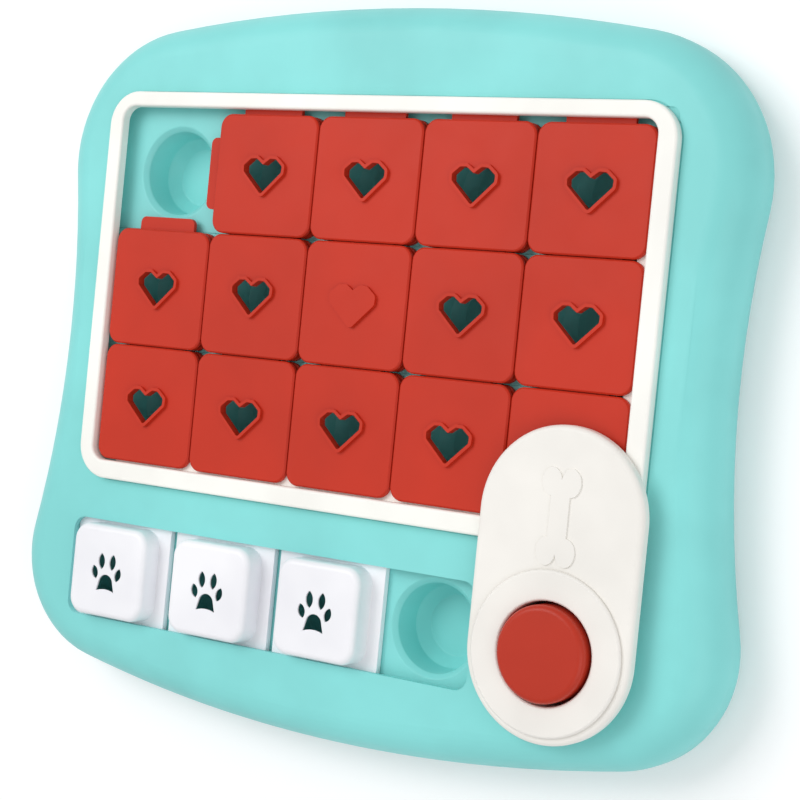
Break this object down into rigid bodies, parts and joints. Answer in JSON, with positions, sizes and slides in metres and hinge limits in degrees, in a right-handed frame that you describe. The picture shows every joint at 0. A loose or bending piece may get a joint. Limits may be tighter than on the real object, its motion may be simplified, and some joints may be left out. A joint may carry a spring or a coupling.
{
  "type": "dog puzzle feeder toy",
  "caption": "Treat puzzle tray with sliding heart tiles over wells, paw sliders on a track, a swing lid and a press squeaker button.",
  "frame": {"origin": "middle of the housing's outline, on the surface that the rubber feet stand on", "axes": "+Z out of the face; +Y up the face, from the sliders to the tiles; +X to the right, towards the swing lid"},
  "size_m": [0.301, 0.268, 0.0432],
  "materials": {
    "teal_shell": "satin moulded",
    "teal_tray": "satin moulded",
    "warm_white": "satin moulded",
    "tile_red": "satin moulded",
    "cool_white": "soft gloss",
    "lid_white": "satin moulded",
    "button_red": "soft gloss",
    "squeaker_rubber": "matt",
    "reed_plastic": "matt",
    "screw_steel": "zinc plated",
    "foot_rubber": "matt"
  },
  "bodies": {
    "housing": {"upper_housing": "teal_shell", "bottom_cover": "teal_shell", "row_tray_1": "teal_tray", "row_tray_2": "teal_tray", "row_tray_3": "teal_tray", "track_tray": "teal_tray", "tile_frame": "warm_white", "pivot_ring": "lid_white", "squeaker_bellows": "squeaker_rubber", "squeaker_reed": "reed_plastic", "cover_screws": "screw_steel", "rubber_feet": "foot_rubber", "tile_r2c2": "tile_red", "tile_r2c3": "tile_red", "tile_r2c4": "tile_red", "tile_r2c5": "tile_red", "tile_r3c2": "tile_red", "tile_r3c3": "tile_red", "tile_r3c4": "tile_red", "tile_r3c5": "tile_red"},
    "tile_r1c5": {"tile_r1c5": "tile_red"},
    "tile_r1c4": {"tile_r1c4": "tile_red"},
    "tile_r1c3": {"tile_r1c3": "tile_red"},
    "tile_r1c2": {"tile_r1c2": "tile_red"},
    "tile_r3c1": {"tile_r3c1": "tile_red"},
    "tile_r2c1": {"tile_r2c1": "tile_red"},
    "slider_1": {"slider_1": "cool_white"},
    "slider_2": {"slider_2": "cool_white"},
    "slider_3": {"slider_3": "cool_white"},
    "swing_lid": {"swing_lid": "lid_white"},
    "squeaker_button": {"squeaker_button": "button_red"}
  },
  "joints": [
    {"name": "tile_r1c5_slide", "type": "slide", "parent": "housing", "child": "tile_r1c5", "axis": [1, 0, 0], "range_m": [-0.045, 0]},
    {"name": "tile_r1c4_slide", "type": "slide", "parent": "housing", "child": "tile_r1c4", "axis": [1, 0, 0], "range_m": [-0.045, 0]},
    {"name": "tile_r1c3_slide", "type": "slide", "parent": "housing", "child": "tile_r1c3", "axis": [1, 0, 0], "range_m": [-0.045, 0]},
    {"name": "tile_r1c2_slide", "type": "slide", "parent": "housing", "child": "tile_r1c2", "axis": [1, 0, 0], "range_m": [-0.045, 0]},
    {"name": "tile_r3c1_slide", "type": "slide", "parent": "housing", "child": "tile_r3c1", "axis": [0, 1, 0], "range_m": [0, 0.045]},
    {"name": "tile_r2c1_slide", "type": "slide", "parent": "housing", "child": "tile_r2c1", "axis": [0, 1, 0], "range_m": [0, 0.045]},
    {"name": "slider_1_slide", "type": "slide", "parent": "housing", "child": "slider_1", "axis": [1, 0, 0], "range_m": [0, 0.0382]},
    {"name": "slider_2_slide", "type": "slide", "parent": "housing", "child": "slider_2", "axis": [1, 0, 0], "range_m": [0, 0.0382]},
    {"name": "slider_3_slide", "type": "slide", "parent": "housing", "child": "slider_3", "axis": [1, 0, 0], "range_m": [0, 0.0382]},
    {"name": "swing_lid_turn", "type": "hinge", "parent": "housing", "child": "swing_lid", "pos_m": [0.094, -0.0845, 0.0338], "axis": [0, 0, 1], "continuous": true},
    {"name": "squeaker_button_press", "type": "slide", "parent": "housing", "child": "squeaker_button", "axis": [0, 0, 1], "range_m": [-0.003, 0], "stiffness_N_per_m": 600, "springref_m": 0.002, "deforming": ["squeaker_bellows"]}
  ],
  "couplings": [
    {"joint": "tile_r1c4_slide", "follows": "tile_r1c5_slide", "ratio": 1},
    {"joint": "tile_r1c3_slide", "follows": "tile_r1c5_slide", "ratio": 1},
    {"joint": "tile_r1c2_slide", "follows": "tile_r1c5_slide", "ratio": 1},
    {"joint": "tile_r2c1_slide", "follows": "tile_r3c1_slide", "ratio": 1},
    {"joint": "slider_2_slide", "follows": "slider_1_slide", "ratio": 1},
    {"joint": "slider_3_slide", "follows": "slider_1_slide", "ratio": 1}
  ]
}
